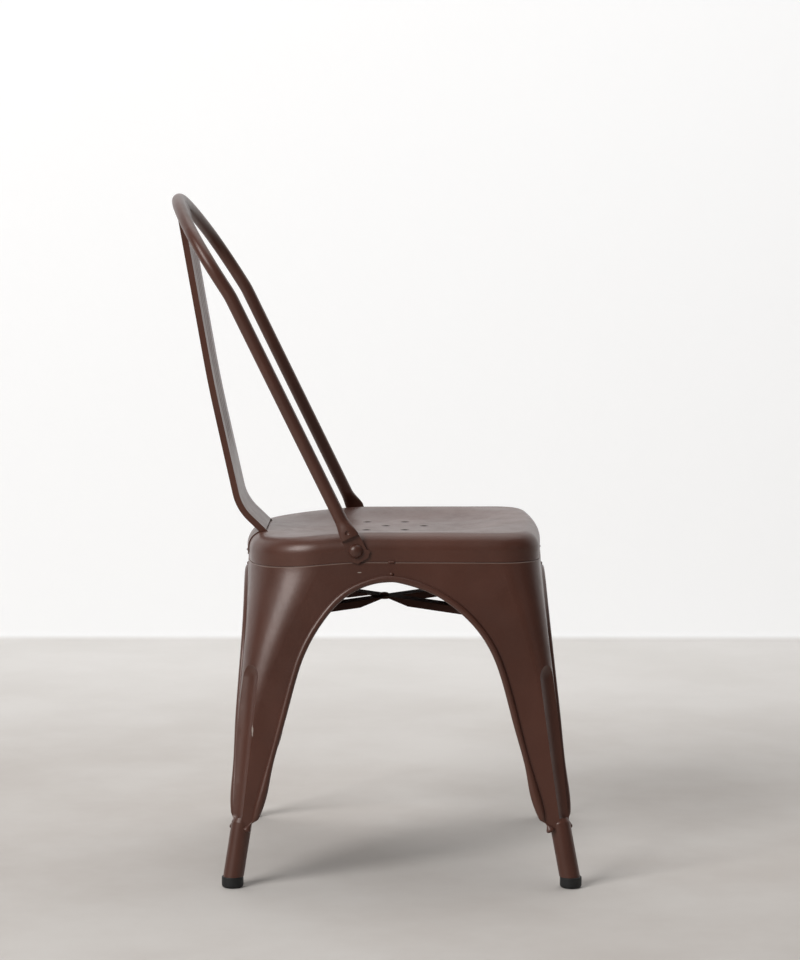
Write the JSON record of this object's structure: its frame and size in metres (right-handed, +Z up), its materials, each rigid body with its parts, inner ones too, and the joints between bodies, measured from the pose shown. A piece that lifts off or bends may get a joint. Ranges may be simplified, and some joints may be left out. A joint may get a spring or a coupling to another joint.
{
  "type": "metal side chair",
  "caption": "Pressed-steel side chair with a dished seat, arched legs, a bent tube back hoop and a sheet-metal back splat.",
  "frame": {"origin": "on the floor, under the middle of the chair's bounding box", "axes": "+Z up, -Y is the front of the chair, +X is the sitter's left"},
  "size_m": [0.4408, 0.5134, 0.8499],
  "materials": {
    "seat_paint": "satin brown powder coat",
    "leg_paint": "satin brown powder coat",
    "back_paint": "satin brown powder coat",
    "brace_paint": "satin brown powder coat",
    "rivet_paint": "satin brown powder coat",
    "foot_rubber": "matt black rubber",
    "weld_paint": "satin brown powder coat over weld"
  },
  "bodies": {
    "root": {"seat_pan": "seat_paint", "leg_front_left": "leg_paint", "leg_front_right": "leg_paint", "leg_rear_left": "leg_paint", "leg_rear_right": "leg_paint", "back_hoop": "back_paint", "back_splat": "back_paint", "brace_upper": "brace_paint", "brace_lower": "brace_paint", "brace_rivet": "rivet_paint", "hoop_rivet_left": "rivet_paint", "hoop_rivet_right": "rivet_paint", "hoop_washer_left": "rivet_paint", "hoop_washer_right": "rivet_paint", "foot_front_left": "foot_rubber", "foot_front_right": "foot_rubber", "foot_rear_left": "foot_rubber", "foot_rear_right": "foot_rubber", "leg_crown_welds": "weld_paint", "skirt_tack_welds": "weld_paint", "splat_hoop_welds": "weld_paint", "splat_seat_welds": "weld_paint", "brace_end_welds": "weld_paint"}
  },
  "joints": []
}
